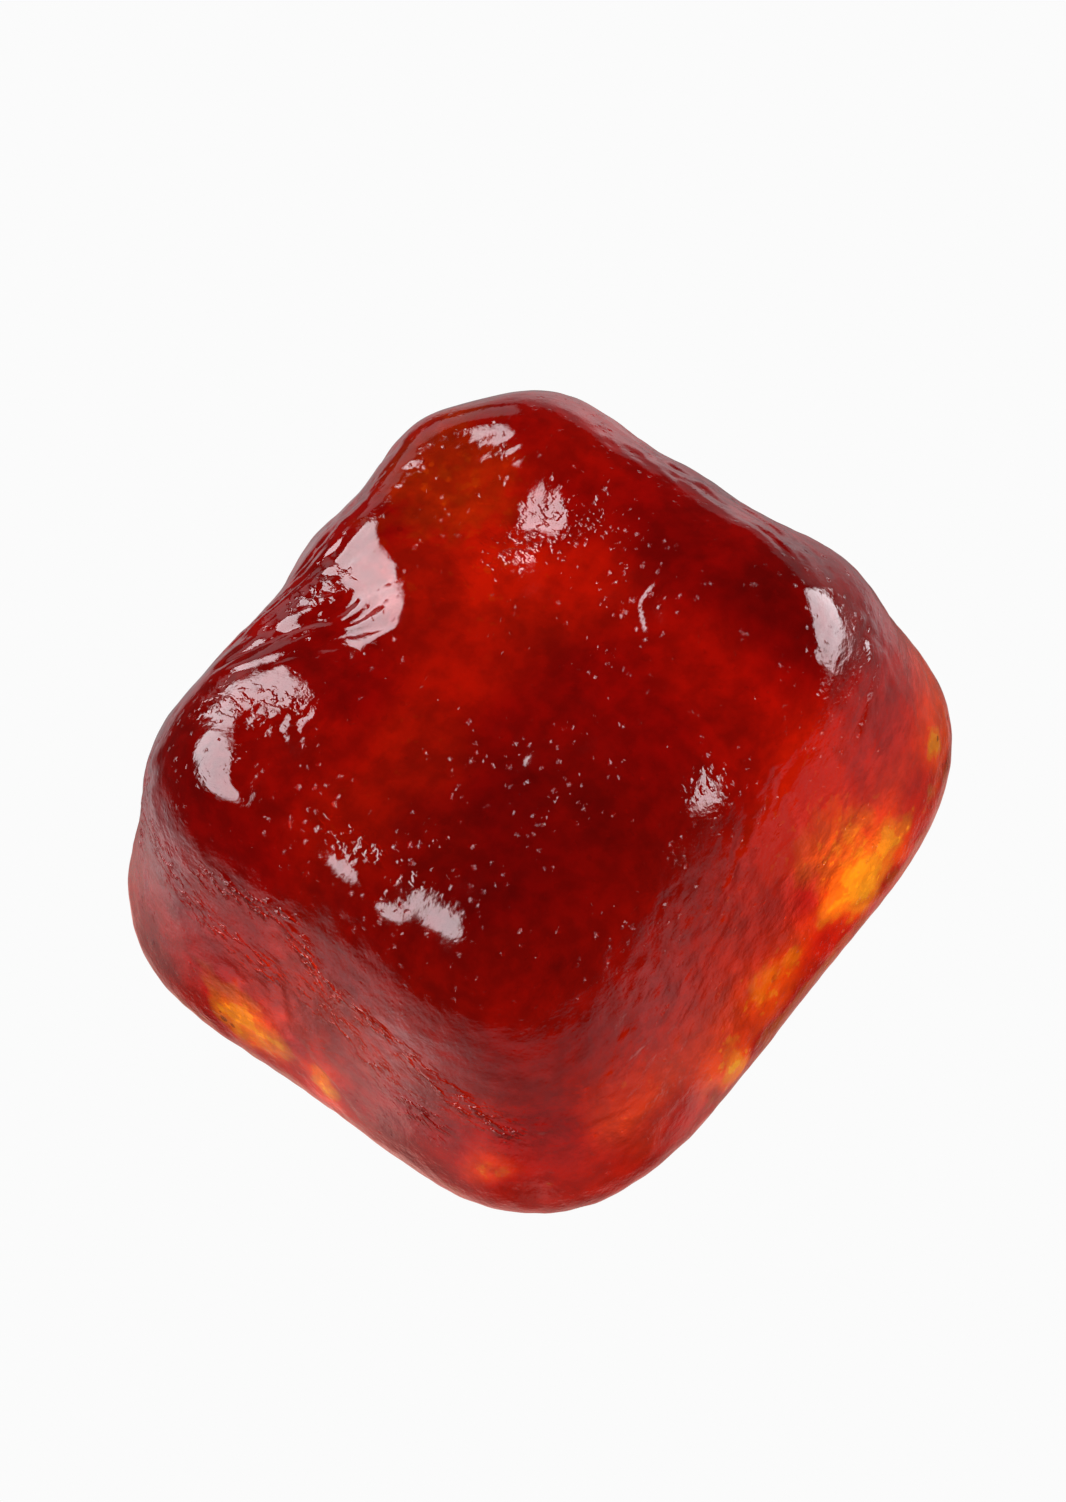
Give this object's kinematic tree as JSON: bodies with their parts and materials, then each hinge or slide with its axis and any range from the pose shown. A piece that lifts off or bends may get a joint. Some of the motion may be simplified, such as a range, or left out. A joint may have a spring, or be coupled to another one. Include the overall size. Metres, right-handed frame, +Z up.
{
  "type": "gummy supplement",
  "caption": "Soft square fruit jelly supplement with a sunken top between rounded lobes and a flat, wider foot.",
  "frame": {"origin": "centre of the bounding box at the flat underside, on the surface that the gummy stands on", "axes": "+Z up through the sunken top, +Y along the longer side of the foot, +X along its shorter side"},
  "size_m": [0.0172, 0.019, 0.0112],
  "materials": {
    "red_jelly": "glossy, see-through deep red fruit jelly that glows orange where it is thin"
  },
  "bodies": {
    "root": {"gummy": "red_jelly"}
  },
  "joints": []
}
